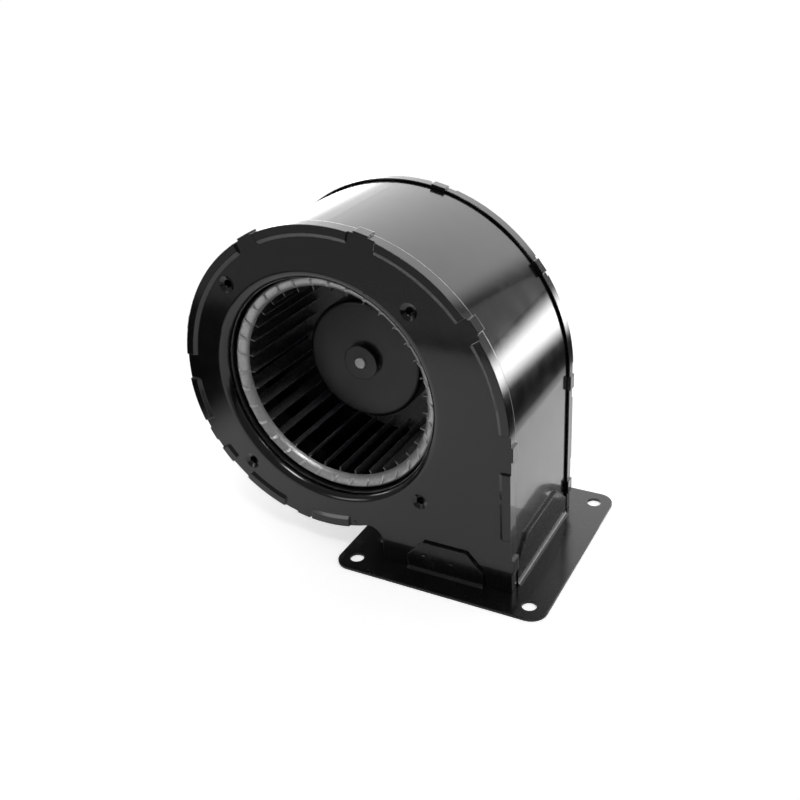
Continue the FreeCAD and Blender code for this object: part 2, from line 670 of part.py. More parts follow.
def slot_bars(width, root_r, top_r, y0, y1):
    """One straight bar for each stator slot."""
    bar = Part.makeBox(top_r - root_r, y1 - y0, width, V(AXIS_X + root_r, y0, AXIS_Z - width / 2))
    return [about_axis(bar, 360.0 / STATOR_SLOTS * i) for i in range(STATOR_SLOTS)]


def stator_core():
    """Slotted stack with teeth that face the rotor."""
    core = sleeve(TUBE_R, STATOR_R, STACK_Y, STACK_END_Y)
    y0 = STACK_Y - CUT_OVER
    y1 = STACK_END_Y + CUT_OVER
    cuts = slot_bars(SLOT_W, SLOT_ROOT_R, SLOT_TOP_R, y0, y1)
    cuts += slot_bars(SLOT_MOUTH_W, SLOT_TOP_R - CUT_OVER, STATOR_R + CUT_OVER, y0, y1)
    return core.cut(Part.makeCompound(cuts))


def winding_bars():
    y0 = STACK_Y - INSULATOR_T - END_TURN_H / 2
    y1 = STACK_END_Y + INSULATOR_T + END_TURN_H / 2
    width = SLOT_W - 2 * SLOT_LINER
    return slot_bars(width, SLOT_ROOT_R + SLOT_LINER, SLOT_TOP_R - SLOT_LINER, y0, y1)


def end_turns(y0, y1):
    e = END_TURN_EDGE
    inner = SLOT_ROOT_R - END_TURN_IN
    outer = SLOT_TOP_R + END_TURN_OUT
    return turned([
        (inner + e, y0),
        (outer - e, y0, quarter((outer - e, y0 + e), e, -45)),
        (outer, y0 + e),
        (outer, y1 - e, quarter((outer - e, y1 - e), e, 45)),
        (outer - e, y1),
        (inner + e, y1, quarter((inner + e, y1 - e), e, 135)),
        (inner, y1 - e),
        (inner, y0 + e, quarter((inner + e, y0 + e), e, 225)),
    ])


def stator_windings():
    """Copper in the slots with the bundled turns at both ends."""
    front_y = STACK_Y - INSULATOR_T
    rear_y = STACK_END_Y + INSULATOR_T
    body = end_turns(front_y - END_TURN_H, front_y).fuse(end_turns(rear_y, rear_y + END_TURN_H))
    return body.fuse(winding_bars())


def stator_insulator(y0):
    """Thin end piece of the stack that the wire passes through."""
    disc = sleeve(TUBE_R, STATOR_R - INSULATOR_RIM, y0, y0 + INSULATOR_T)
    root_r = SLOT_ROOT_R + SLOT_LINER / 2
    top_r = SLOT_TOP_R - SLOT_LINER / 2
    y1 = y0 + INSULATOR_T + CUT_OVER
    return disc.cut(Part.makeCompound(slot_bars(SLOT_W - SLOT_LINER, root_r, top_r, y0 - CUT_OVER, y1)))


def raceway(y):
    """Ring-shaped tool that grinds the ball track of both bearing rings."""
    middle = y + BEARING_W / 2
    return Part.makeTorus(BALL_PITCH_R, BALL_R + BALL_GAP, V(AXIS_X, middle, AXIS_Z), V(0, 1, 0))


def bearing_outer_ring(y):
    return sleeve(SHOULDER_OUT_R, BEARING_R, y, y + BEARING_W).cut(raceway(y))


def bearing_inner_ring(y):
    return sleeve(SHAFT_R, SHOULDER_IN_R, y, y + BEARING_W).cut(raceway(y))


def bearing_balls(y):
    ball = Part.makeSphere(BALL_R, V(AXIS_X + BALL_PITCH_R, y + BEARING_W / 2, AXIS_Z), V(0, 1, 0))
    return Part.makeCompound([about_axis(ball, 360.0 / BALL_COUNT * i) for i in range(BALL_COUNT)])


def bearing_cage(y):
    """Crown ring with one open pocket for each ball."""
    middle = y + BEARING_W / 2
    pocket_r = BALL_R + POCKET_GAP
    inner_r = BALL_PITCH_R - CAGE_T / 2
    ring = sleeve(inner_r, inner_r + CAGE_T, middle - pocket_r - CAGE_WEB, middle + CAGE_PRONG)
    start = V(AXIS_X + BALL_PITCH_R - CAGE_T, middle, AXIS_Z)
    pocket = Part.makeCylinder(pocket_r, 2 * CAGE_T, start, V(1, 0, 0))
    pockets = [about_axis(pocket, 360.0 / BALL_COUNT * i) for i in range(BALL_COUNT)]
    return ring.cut(Part.makeCompound(pockets))


def bearing_shields(y):
    """Pressed-in covers on both sides of a bearing, clear of the inner ring."""
    inner = SHOULDER_IN_R + SHIELD_GAP
    front = sleeve(inner, SHOULDER_OUT_R, y, y + SHIELD_T)
    rear = sleeve(inner, SHOULDER_OUT_R, y + BEARING_W - SHIELD_T, y + BEARING_W)
    return Part.makeCompound([front, rear])


def preload_spring():
    """Spring washer between the tube's shoulder and the front bearing's outer ring."""
    y0 = FRONT_BEARING_Y + BEARING_W
    return sleeve(TUBE_BORE_R + SPRING_RIM, BEARING_R, y0, y0 + SPRING_T)


def motor_bracket():
    """Cast bracket: disc and spigot at the rear plate, tube that holds both bearings."""
    front_seat_end = FRONT_BEARING_Y + BEARING_W + SPRING_T
    well_y = SHAFT_END_Y + SHAFT_END_GAP
    body = turned([
        (TUBE_R, FRONT_BEARING_Y),
        (TUBE_R, BRACKET_Y),
        (BRACKET_R, BRACKET_Y),
        (BRACKET_R, REAR_INSIDE_Y),
        (SPIGOT_R, REAR_INSIDE_Y),
        (SPIGOT_R, REAR_FACE_Y),
        (0, REAR_FACE_Y),
        (0, well_y),
        (BEARING_R, well_y),
        (BEARING_R, REAR_BEARING_Y),
        (TUBE_BORE_R, REAR_BEARING_Y),
        (TUBE_BORE_R, front_seat_end),
        (BEARING_R, front_seat_end),
        (BEARING_R, FRONT_BEARING_Y),
    ])
    hole_y = screw_tip_y() - SCREW_END_GAP
    for x, z in motor_screw_places():
        body = body.cut(drum(MOTOR_SCREW_R, hole_y, REAR_INSIDE_Y + CUT_OVER, x, z))
    return body


def motor_screws():
    """Four pan-head screws from the rear into the bracket."""
    screws = []
    top = REAR_FACE_Y + SCREW_HEAD_H
    for x, z in motor_screw_places():
        shank = drum(MOTOR_SCREW_R, screw_tip_y(), REAR_FACE_Y + SCREW_HEAD_H / 2, x, z)
        head = drum(SCREW_HEAD_R, REAR_FACE_Y, top, x, z)
        rim = [e for e in head.Edges if e.Closed and e.CenterOfMass.y > REAR_FACE_Y + SCREW_HEAD_H / 2]
        head = head.makeFillet(SCREW_HEAD_ROUND, rim)
        socket = drum(SCREW_SOCKET_R, top - SCREW_SOCKET_DEPTH, top + CUT_OVER, x, z)
        screws.append(head.fuse(shank).removeSplitter().cut(socket))
    return Part.makeCompound(screws)


def cable_grommet():
    """Rubber ring in the rear plate where the motor's cable comes out."""
    inner_y = REAR_INSIDE_Y - GROMMET_LIP_T
    outer_y = REAR_FACE_Y + GROMMET_NOSE_T
    x, z = polar((AXIS_X, AXIS_Z), GROMMET_PITCH_R, GROMMET_ANGLE)
    body = drum(GROMMET_LIP_R, inner_y, REAR_INSIDE_Y, x, z)
    body = body.fuse(drum(GROMMET_NECK_R, REAR_INSIDE_Y, REAR_FACE_Y, x, z))
    foot = V(x, REAR_FACE_Y, z)
    nose = Part.makeCone(GROMMET_LIP_R, GROMMET_NECK_R, GROMMET_NOSE_T, foot, V(0, 1, 0))
    bore = drum(GROMMET_BORE_R, inner_y - CUT_OVER, outer_y + CUT_OVER, x, z)
    return body.fuse(nose).cut(bore).removeSplitter()


def save(name, shape):
    if not shape.isValid() or shape.Volume <= 0:
        raise ValueError(name + " is not a valid solid")
    shape.exportStep("parts/" + name + ".step")
    print(f"{name}: {len(shape.Solids)} solid(s), {shape.Volume:.1f} mm3")


def main():
    os.makedirs("parts", exist_ok=True)
    save("inlet_side_plate", inlet_side_plate())
    save("rear_side_plate", rear_side_plate())
    save("scroll_wall", scroll_wall())
    save("outlet_flange", outlet_flange())
    save("impeller_blades", impeller_blades())
    save("impeller_front_ring", impeller_front_ring())
    save("impeller_back_plate", impeller_back_plate())
    save("rotor_can", rotor_can())
    save("rotor_hub", rotor_hub())
    save("rotor_shaft", rotor_shaft())
    save("retaining_ring", retaining_ring())
    save("rotor_laminations", rotor_laminations())
    save("rotor_end_rings", rotor_end_rings())
    save("stator_core", stator_core())
    save("stator_windings", stator_windings())
    save("front_stator_insulator", stator_insulator(STACK_Y - INSULATOR_T))
    save("rear_stator_insulator", stator_insulator(STACK_END_Y))
    for place, y in (("front", FRONT_BEARING_Y), ("rear", REAR_BEARING_Y)):
        save(place + "_bearing_outer_ring", bearing_outer_ring(y))
        save(place + "_bearing_inner_ring", bearing_inner_ring(y))
        save(place + "_bearing_balls", bearing_balls(y))
        save(place + "_bearing_cage", bearing_cage(y))
        save(place + "_bearing_shields", bearing_shields(y))
    save("preload_spring", preload_spring())
    save("motor_bracket", motor_bracket())
    save("motor_screws", motor_screws())
    save("cable_grommet", cable_grommet())


main()
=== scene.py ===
import json
import math

import bmesh
import bpy
from mathutils import Matrix, Vector


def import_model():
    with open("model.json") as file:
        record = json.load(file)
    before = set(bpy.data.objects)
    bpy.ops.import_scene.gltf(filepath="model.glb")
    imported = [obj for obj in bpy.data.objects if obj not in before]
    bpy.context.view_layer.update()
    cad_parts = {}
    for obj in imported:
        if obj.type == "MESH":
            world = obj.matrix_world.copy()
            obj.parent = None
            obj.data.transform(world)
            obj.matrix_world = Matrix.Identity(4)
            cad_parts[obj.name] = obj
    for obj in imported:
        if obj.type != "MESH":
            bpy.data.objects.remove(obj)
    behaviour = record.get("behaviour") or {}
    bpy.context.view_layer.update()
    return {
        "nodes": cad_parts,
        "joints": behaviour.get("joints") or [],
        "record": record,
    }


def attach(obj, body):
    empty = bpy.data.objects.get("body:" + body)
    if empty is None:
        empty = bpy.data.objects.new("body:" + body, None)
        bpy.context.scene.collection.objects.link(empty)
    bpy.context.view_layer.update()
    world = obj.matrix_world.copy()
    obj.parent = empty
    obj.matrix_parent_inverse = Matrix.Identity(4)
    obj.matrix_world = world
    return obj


# Looks of the centrifugal blower: gloss-black sheet steel round a galvanised impeller.
# Everything is in metres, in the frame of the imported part.

MM = 0.001

# Camera: bearing, height angle and tilt of its line of sight, its place and its lens
VIEW_AZIMUTH = 29.838
VIEW_ELEVATION = 27.647
VIEW_ROLL = -3.728
CAMERA_PLACE = Vector((0.19376, -0.41755, 0.32657))
LENS_MM = 44.608
SENSOR_MM = 36.0

# Rounding that the shading gives to sharp edges
BEVEL_SAMPLES = 6
PAINT_EDGE = 0.7 * MM
METAL_EDGE = 0.2 * MM

# Noise of the paint, in cells per metre: cloudy tone, uneven sheen, coarse and fine orange peel
CLOUD_SCALE = 38.0
SHEEN_SCALE = 90.0
PEEL_COARSE_SCALE = 260.0
PEEL_FINE_SCALE = 1400.0
PEEL_STRENGTH = 0.35
FINE_PEEL_SHARE = 0.3

# Worn paint: the roll of the surface at which wear begins and is full, the noise that breaks it
# up with its used range and its gain, and the roughness that wear adds to the clear coat
WEAR_ROLL = (0.04, 0.4)
FLAKE_SCALE = 220.0
FLAKE_RANGE = (0.45, 0.7)
FLAKE_GAIN = 2.0
WORN_COAT_ROUGHNESS = 0.25

# Metal and mouldings: noise in cells per metre, relief and roughness of the zinc crystals, and
# how far the roughness of a moulding strays from its middle
METAL_SHEEN_SCALE = 160.0
CRYSTAL_SCALE = 900.0
CRYSTAL_DEPTH = 0.02 * MM
CRYSTAL_ROUGHNESS = (0.34, 0.44)
MOULDING_TONE_SCALE = 60.0
MOULDING_ROUGHNESS_STRAY = 0.06

# The part of a noise's range over which a look changes
CLOUD_RANGE = (0.35, 0.7)
SHEEN_RANGE = (0.3, 0.75)
STREAK_RANGE = (0.3, 0.72)
MIDDLE_RANGE = (0.3, 0.7)
FULL_RANGE = (0.0, 1.0)

# Dark and light tone of the housing's and the flange's paint
BLACK = ((0.003, 0.003, 0.0032), (0.005, 0.005, 0.0052))

# Sockets of the colour mix: the two colours and the result
MIX_BELOW = 6
MIX_ABOVE = 7
MIX_RESULT = 2

# Joint whose place is on the fan's axis
FAN_JOINT = "impeller_spin"

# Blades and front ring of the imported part, in millimetres: the blades' number and first angle,
# their arc with its middle's radius and side, and radius and Y along the ring's slope
BLADE_COUNT = 34
BLADE_PHASE = 2.8
BLADE_ARC_R = 7.8
BLADE_ARC_MIDDLE = (52.955, 7.681)
RING_POINTS = ((54.0, -33.4), (55.69, -36.16), (58.6, -37.6))

# Blade tabs folded over on the ring: their part of the blade's arc, the taper of their ends, and
# their section in millimetres; the outline gives the side and the share of the rise at each corner
TAB_ARC = (-74.0, -44.0)
TAB_STEPS = 8
TAB_TAPER = 0.14
TAB_HALF = 0.35
TAB_ROOT = 0.3
TAB_RISE = 1.15
TAB_FOLD = 1.3
TAB_OUTLINE = ((-TAB_HALF, 0.75), (0.0, 1.0), (TAB_FOLD, 0.6), (TAB_FOLD, 0.2), (TAB_HALF, 0.2))

# Pips on the front plate and the flange's front tab: places, then radius and rise, in millimetres
PRESS_DOTS = (
    (-79.4, -45.2, 18.5),
    (-52.8, -45.2, 20.5),
    (-36.7, -45.2, 11.9),
    (-10.6, -47.2, 11.5),
    (5.1, -47.2, 10.4),
)
DOT_PROFILE = ((1.15, -0.3), (1.1, 0.0), (0.8, 0.28), (0.4, 0.36))
DOT_SIDES = 20

# Nodes whose look differs from that of their slot
# The blades get a darker copy of the galvanised sheet: painted shade for their place inside the
# housing
NODE_LOOKS = {"impeller_blades": "shaded_blades"}

# Room: the floor's half width, its depth below the part, and the point that the lamps face
FLOOR_HALF = 6.0
FLOOR_DROP = 0.02 * MM
OBJECT_MIDDLE = Vector((-0.03, 0.0, 0.09))

# Fill light from behind and from the front, and the part of the directions' Y where it changes
FILL_BACK = 0.36
FILL_FRONT = 0.13
FILL_TURN = (-0.4, 0.4)

# White sheet under the object: its edges, their softness, and the tones of the sheet and table
SHEET_LEFT = -0.20
SHEET_RIGHT = 0.105
SHEET_FRONT = -0.28
SHEET_BACK = 0.42
SHEET_FADE = 0.05
RIGHT_FADE = 0.02
SHEET_TONE = (0.9, 0.9, 0.9)
TABLE_TONE = (0.02, 0.02, 0.02)

# Glow that the camera alone sees: full on the table, less on the sheet, which keeps the shadow
CAMERA_LIFT = 0.58

# Cards on the floor that only gloss mirrors: edges, glow, and the share that dims at the rims
CARD_Z = 0.1 * MM
CARDS = {
    "card_right": dict(x=(0.048, 0.105), y=(0.03, 0.3), strength=0.92, soft=0.0),
    "card_back": dict(x=(-1.3, 0.05), y=(0.44, 1.3), strength=1.3, soft=0.0),
    "card_left": dict(x=(-1.4, -0.45), y=(-0.1, 0.8), strength=2.0, soft=0.05),
    "card_front": dict(x=(-0.8, 0.12), y=(-0.8, -0.3), strength=0.24, soft=0.08),
}

# Lamps: bearing and height angle in degrees, distance and size, glow, and the shares of width and
# height that dim at the rims; foot is glow added at the base, and mirrored is seen in gloss alone
LAMPS = {
    "light_back": dict(azimuth=-16.5, elevation=18.0, distance=1.1, width=2.09, height=1.27,
                       strength=1.32, soft_x=0.12, soft_y=0.08, foot=1.1),
    "light_key": dict(azimuth=90.0, elevation=45.0, distance=1.0, width=0.36, height=0.36,
                      strength=10.0, soft_x=0.4, soft_y=0.4),
    "light_left": dict(azimuth=-90.0, elevation=20.0, distance=1.0, width=0.35, height=0.35,
                       strength=8.0, soft_x=0.3, soft_y=0.3),
    "light_inlet": dict(azimuth=-142.0, elevation=14.0, distance=1.0, width=0.4, height=0.3,
                        strength=2.0, soft_x=0.3, soft_y=0.3),
    "light_front": dict(azimuth=165.0, elevation=62.0, distance=1.1, width=0.5, height=0.4,
                        strength=10.0, soft_x=0.4, soft_y=0.4),
    "light_strip": dict(azimuth=39.6, elevation=-0.6, distance=0.45, width=0.55, height=0.17,
                        strength=6.6, soft_x=0.15, soft_y=0.5, mirrored=True),
}

# The part of a lamp's height over which the glow of its foot runs out
FOOT_FADE = (0.36, 0.5)


def grey(level):
    return (level, level, level)


def look_matrix():
    """Camera axes from the view's angles: right, up and back as columns."""
    az = math.radians(VIEW_AZIMUTH)
    el = math.radians(VIEW_ELEVATION)
    roll = math.radians(VIEW_ROLL)
    back = Vector((math.sin(az) * math.cos(el), -math.cos(az) * math.cos(el), math.sin(el)))
    right = Vector((math.cos(az), math.sin(az), 0.0))
    up = back.cross(right)
    tilted_right = math.cos(roll) * right + math.sin(roll) * up
    tilted_up = math.cos(roll) * up - math.sin(roll) * right
    turn = Matrix((tilted_right, tilted_up, back)).transposed()
    return Matrix.Translation(CAMERA_PLACE) @ turn.to_4x4()


def add_camera():
    data = bpy.data.cameras.new("camera")
    data.sensor_width = SENSOR_MM
    data.lens = LENS_MM
    camera = bpy.data.objects.new("camera", data)
    camera.matrix_world = look_matrix()
    bpy.context.scene.collection.objects.link(camera)
    bpy.context.scene.camera = camera


class Nodes:
    """Short way to build the node tree of a material or of the world."""

    def __init__(self, owner, output="ShaderNodeOutputMaterial"):
        self.owner = owner
        owner.use_nodes = True
        self.tree = owner.node_tree
        self.tree.nodes.clear()
        self.out = self.add(output)

    def add(self, kind, **settings):
        node = self.tree.nodes.new(kind)
        for key, value in settings.items():
            setattr(node, key, value)
        return node

    def link(self, source, target):
        self.tree.links.new(source, target)

    def surface(self, shader):
        self.link(shader.outputs[0], self.out.inputs["Surface"])

    def place(self, kind="Object"):
        return self.add("ShaderNodeTexCoord").outputs[kind]

    def axes(self, kind="Object"):
        """X, Y and Z of a place."""
        node = self.add("ShaderNodeSeparateXYZ")
        self.link(self.place(kind), node.inputs[0])
        return node.outputs

    def camera_ray(self):
        return self.add("ShaderNodeLightPath").outputs["Is Camera Ray"]

    def noise(self, scale, detail=3.0, roughness=0.5, vector=None):
        node = self.add("ShaderNodeTexNoise")
        node.inputs["Scale"].default_value = scale
        node.inputs["Detail"].default_value = detail
        node.inputs["Roughness"].default_value = roughness
        self.link(vector or self.place(), node.inputs["Vector"])
        return node.outputs["Fac"]

    def stretched(self, factors):
        """Place with each axis multiplied, for grain that runs one way."""
        node = self.add("ShaderNodeVectorMath", operation="MULTIPLY")
        node.inputs[1].default_value = factors
        self.link(self.place(), node.inputs[0])
        return node.outputs["Vector"]

    def tones(self, value, span, pair):
        """Colours from a dark to a light tone while the value crosses its span."""
        node = self.add("ShaderNodeValToRGB")
        for element, position, colour in zip(node.color_ramp.elements, span, pair):
            element.position = position
            element.color = (*colour, 1.0)
        self.link(value, node.inputs["Fac"])
        return node.outputs["Color"]

    def blend(self, share, below, above):
        """Mix of a linked colour with a plain one."""
        node = self.add("ShaderNodeMix", data_type="RGBA")
        self.link(share, node.inputs["Factor"])
        self.link(below, node.inputs[MIX_BELOW])
        node.inputs[MIX_ABOVE].default_value = (*above, 1.0)
        return node.outputs[MIX_RESULT]

    def spread(self, value, span, result=(0.0, 1.0), curve="SMOOTHSTEP"):
        """Value carried over from its span to the result's span."""
        node = self.add("ShaderNodeMapRange", interpolation_type=curve)
        self.link(value, node.inputs["Value"])
        for name, number in zip(("From Min", "From Max", "To Min", "To Max"), (*span, *result)):
            node.inputs[name].default_value = number
        return node.outputs["Result"]

    def math(self, operation, *values):
        node = self.add("ShaderNodeMath", operation=operation)
        for socket, value in zip(node.inputs, values):
            if isinstance(value, (int, float)):
                socket.default_value = value
            else:
                self.link(value, socket)
        return node.outputs[0]

    def times(self, first, second):
        """Product of two values, where the first may be missing."""
        return self.math("MULTIPLY", first, second) if first else second

    def rounded(self, radius):
        """Normal that rolls over the edges, as a bent or sprayed edge does."""
        node = self.add("ShaderNodeBevel", samples=BEVEL_SAMPLES)
        node.inputs["Radius"].default_value = radius
        return node.outputs["Normal"]

    def edge_wear(self, rolled):
        """1 where the surface rolls over an edge, broken up by noise."""
        dot = self.add("ShaderNodeVectorMath", operation="DOT_PRODUCT")
        self.link(rolled, dot.inputs[0])
        self.link(self.add("ShaderNodeNewGeometry").outputs["Normal"], dot.inputs[1])
        bend = self.math("SUBTRACT", 1.0, dot.outputs["Value"])
        flakes = self.noise(FLAKE_SCALE, detail=5.0, roughness=0.7)
        broken = self.math("MULTIPLY", bend, self.spread(flakes, FLAKE_RANGE, (0.0, FLAKE_GAIN)))
        return self.spread(broken, WEAR_ROLL)

    def bump(self, height, distance, strength, under=None):
        node = self.add("ShaderNodeBump")
        node.inputs["Strength"].default_value = strength
        node.inputs["Distance"].default_value = distance
        self.link(height, node.inputs["Height"])
        if under:
            self.link(under, node.inputs["Normal"])
        return node.outputs["Normal"]

    def principled(self, metallic):
        node = self.add("ShaderNodeBsdfPrincipled")
        node.inputs["Metallic"].default_value = metallic
        self.surface(node)
        return node.inputs


def new_material(name):
    return Nodes(bpy.data.materials.new(name))


def paint(name, tones, worn, roughness, coat, coat_roughness, peel):
    """Sprayed paint: cloudy tone, orange peel, and thin or rubbed paint along the edges."""
    n = new_material(name)
    shader = n.principled(metallic=0.0)
    shader["Coat Weight"].default_value = coat
    rolled = n.rounded(PAINT_EDGE)
    wear = n.edge_wear(rolled)
    cloud = n.tones(n.noise(CLOUD_SCALE, detail=4.0), CLOUD_RANGE, tones)
    n.link(n.blend(wear, cloud, worn), shader["Base Color"])
    n.link(n.spread(n.noise(SHEEN_SCALE), SHEEN_RANGE, roughness), shader["Roughness"])
    coat_range = (coat_roughness, coat_roughness + WORN_COAT_ROUGHNESS)
    n.link(n.spread(wear, FULL_RANGE, coat_range), shader["Coat Roughness"])
    coarse = n.bump(n.noise(PEEL_COARSE_SCALE, detail=2.0), peel, PEEL_STRENGTH, rolled)
    grain = n.noise(PEEL_FINE_SCALE, detail=2.0)
    fine = n.bump(grain, peel * FINE_PEEL_SHARE, PEEL_STRENGTH, coarse)
    n.link(fine, shader["Normal"])
    n.link(fine, shader["Coat Normal"])
    return n.owner


def bare_metal(name, tones, roughness, grain, depth):
    """Metal with streaks along its grain and patches of uneven sheen."""
    n = new_material(name)
    shader = n.principled(metallic=1.0)
    streak = n.noise(1.0, detail=4.0, roughness=0.6, vector=n.stretched(grain))
    n.link(n.tones(streak, STREAK_RANGE, tones), shader["Base Color"])
    n.link(n.spread(n.noise(METAL_SHEEN_SCALE), MIDDLE_RANGE, roughness), shader["Roughness"])
    n.link(n.bump(streak, depth, strength=0.4), shader["Normal"])
    return n.owner


def galvanised(name, tones, metallic):
    """Zinc-coated sheet: crystal patches of different greys and dull sheen."""
    n = new_material(name)
    shader = n.principled(metallic)
    cells = n.add("ShaderNodeTexVoronoi", feature="F1")
    cells.inputs["Scale"].default_value = CRYSTAL_SCALE
    n.link(n.place(), cells.inputs["Vector"])
    patch = n.add("ShaderNodeSeparateColor")
    n.link(cells.outputs["Color"], patch.inputs["Color"])
    n.link(n.tones(patch.outputs["Red"], FULL_RANGE, tones), shader["Base Color"])
    n.link(n.spread(patch.outputs["Green"], FULL_RANGE, CRYSTAL_ROUGHNESS), shader["Roughness"])
    relief = n.bump(n.noise(CRYSTAL_SCALE), CRYSTAL_DEPTH, strength=0.5,
                    under=n.rounded(METAL_EDGE))
    n.link(relief, shader["Normal"])
    return n.owner


def moulded(name, tones, roughness, scale, depth):
    """Plastic or rubber with a fine moulded grain."""
    n = new_material(name)
    shader = n.principled(metallic=0.0)
    n.link(n.tones(n.noise(MOULDING_TONE_SCALE), MIDDLE_RANGE, tones), shader["Base Color"])
    grain = n.noise(scale, detail=2.0)
    bounds = (roughness - MOULDING_ROUGHNESS_STRAY, roughness + MOULDING_ROUGHNESS_STRAY)
    n.link(n.spread(grain, MIDDLE_RANGE, bounds), shader["Roughness"])
    n.link(n.bump(grain, depth, strength=0.5), shader["Normal"])
    return n.owner


def make_materials():
    """Materials by the record's slots, and two more: a darker copy of the galvanised sheet for the
    blades as painted shade, and a lighter one for their folded tabs as painted highlight.
    """
    return {
        "housing_paint": paint(
            "gloss_black_paint", BLACK, worn=grey(0.03), roughness=(0.16, 0.24),
            coat=1.0, coat_roughness=0.06, peel=0.02 * MM),
        "flange_paint": paint(
            "satin_black_paint", BLACK, worn=grey(0.025), roughness=(0.22, 0.3),
            coat=0.5, coat_roughness=0.14, peel=0.02 * MM),
        "rotor_paint": paint(
            "rotor_paint", (grey(0.008), grey(0.013)), worn=grey(0.05), roughness=(0.3, 0.4),
            coat=0.5, coat_roughness=0.24, peel=0.03 * MM),
        "blade_steel": galvanised(
            "galvanised_sheet", ((0.66, 0.665, 0.67), (0.76, 0.76, 0.755)), metallic=0.7),
        # Darker copy of the galvanised sheet on the blades: painted shade for their place inside
        # the housing
        "shaded_blades": galvanised(
            "shaded_galvanised_blades", ((0.34, 0.345, 0.35), (0.46, 0.46, 0.455)), metallic=0.85),
        # Near-white copy of the galvanised sheet on the folded tabs: painted highlight for the
        # light that they catch
        "tab_folds": galvanised(
            "tab_folds_painted_highlight", (grey(0.84), grey(0.92)), metallic=0.3),
        "shaft_steel": bare_metal(
            "ground_shaft", (grey(0.42), (0.6, 0.6, 0.59)), roughness=(0.25, 0.4),
            grain=(3000, 300, 3000), depth=0.01 * MM),
        "bearing_steel": bare_metal(
            "bearing_steel", ((0.5, 0.5, 0.51), (0.68, 0.68, 0.69)), roughness=(0.12, 0.22),
            grain=(1500, 1500, 1500), depth=0.005 * MM),
        "zinc_steel": bare_metal(
            "zinc_plate", ((0.4, 0.4, 0.38), (0.62, 0.62, 0.58)), roughness=(0.28, 0.4),
            grain=(900, 900, 900), depth=0.01 * MM),
        "electrical_steel": bare_metal(
            "lamination_steel", ((0.16, 0.16, 0.17), (0.3, 0.3, 0.31)), roughness=(0.4, 0.55),
            grain=(40, 2600, 40), depth=0.05 * MM),
        "copper_wire": bare_metal(
            "enamelled_copper", ((0.36, 0.13, 0.05), (0.62, 0.28, 0.12)), roughness=(0.25, 0.4),
            grain=(2600, 60, 2600), depth=0.08 * MM),
        "cast_aluminium": bare_metal(
            "cast_aluminium", ((0.42, 0.42, 0.43), (0.6, 0.6, 0.61)), roughness=(0.4, 0.55),
            grain=(700, 700, 700), depth=0.05 * MM),
        "insulator_plastic": moulded(
            "insulator_plastic", ((0.62, 0.59, 0.5), (0.72, 0.69, 0.6)), roughness=0.5,
            scale=900.0, depth=0.02 * MM),
        "grommet_rubber": moulded(
            "grommet_rubber", (grey(0.012), grey(0.022)), roughness=0.62,
            scale=700.0, depth=0.03 * MM),
    }


def dress_nodes(frame, materials):
    """Every CAD node gets the material of its slot in the record, but the blades get the darker
    copy that paints shade on them.
    """
    for part in frame["record"]["subparts"]:
        node = frame["nodes"][part["node"]]
        material = materials[NODE_LOOKS.get(part["node"], part["material_slot"])]
        if not node.material_slots:
            node.data.materials.append(material)
        for slot in node.material_slots:
            slot.material = material


def sheet_mask(n):
    """1 on the white sheet, falling to 0 over its soft edges."""
    axes = n.axes()
    mask = None
    for axis, span, result in (
        ("X", (SHEET_LEFT - SHEET_FADE, SHEET_LEFT), (0.0, 1.0)),
        ("X", (SHEET_RIGHT, SHEET_RIGHT + RIGHT_FADE), (1.0, 0.0)),
        ("Y", (SHEET_FRONT - SHEET_FADE, SHEET_FRONT), (0.0, 1.0)),
        ("Y", (SHEET_BACK, SHEET_BACK + SHEET_FADE), (1.0, 0.0)),
    ):
        mask = n.times(mask, n.spread(axes[axis], span, result))
    return mask


def floor_material():
    """White sheet on a dark table; the camera sees plain white round the object's shadow."""
    n = new_material("white_floor")
    mask = sheet_mask(n)
    diffuse = n.add("ShaderNodeBsdfDiffuse")
    n.link(n.tones(mask, FULL_RANGE, (TABLE_TONE, SHEET_TONE)), diffuse.inputs["Color"])
    glow = n.add("ShaderNodeEmission")
    lift = n.spread(mask, FULL_RANGE, (1.0, CAMERA_LIFT))
    n.link(n.math("MULTIPLY", n.camera_ray(), lift), glow.inputs["Strength"])
    both = n.add("ShaderNodeAddShader")
    n.link(diffuse.outputs[0], both.inputs[0])
    n.link(glow.outputs[0], both.inputs[1])
    n.surface(both)
    return n.owner


def sheet_object(name, corners, material):
    mesh = bpy.data.meshes.new(name)
    mesh.from_pydata(corners, [], [list(range(len(corners)))])
    mesh.materials.append(material)
    sheet = bpy.data.objects.new(name, mesh)
    bpy.context.scene.collection.objects.link(sheet)
    return sheet


def level_corners(x, y, z):
    return [(x[0], y[0], z), (x[1], y[0], z), (x[1], y[1], z), (x[0], y[1], z)]


def add_floor():
    reach = (-FLOOR_HALF, FLOOR_HALF)
    sheet_object("floor", level_corners(reach, reach, -FLOOR_DROP), floor_material())


def glow_material(name, strength, soft_x, soft_y, foot):
    """Glow that dims over the soft shares of width and height; foot is added along its base."""
    n = new_material(name)
    glow = n.add("ShaderNodeEmission")
    axes = n.axes("UV")
    share = None
    for axis, soft in (("X", soft_x), ("Y", soft_y)):
        if soft:
            rise = n.spread(axes[axis], (0.0, soft), (0.0, 1.0))
            fall = n.spread(axes[axis], (1.0 - soft, 1.0), (1.0, 0.0))
            share = n.times(share, n.times(rise, fall))
    if foot:
        share = n.times(share, n.spread(axes["Y"], FOOT_FADE, (1.0 + foot, 1.0)))
    if share:
        n.link(n.math("MULTIPLY", share, strength), glow.inputs["Strength"])
    else:
        glow.inputs["Strength"].default_value = strength
    n.surface(glow)
    return n.owner


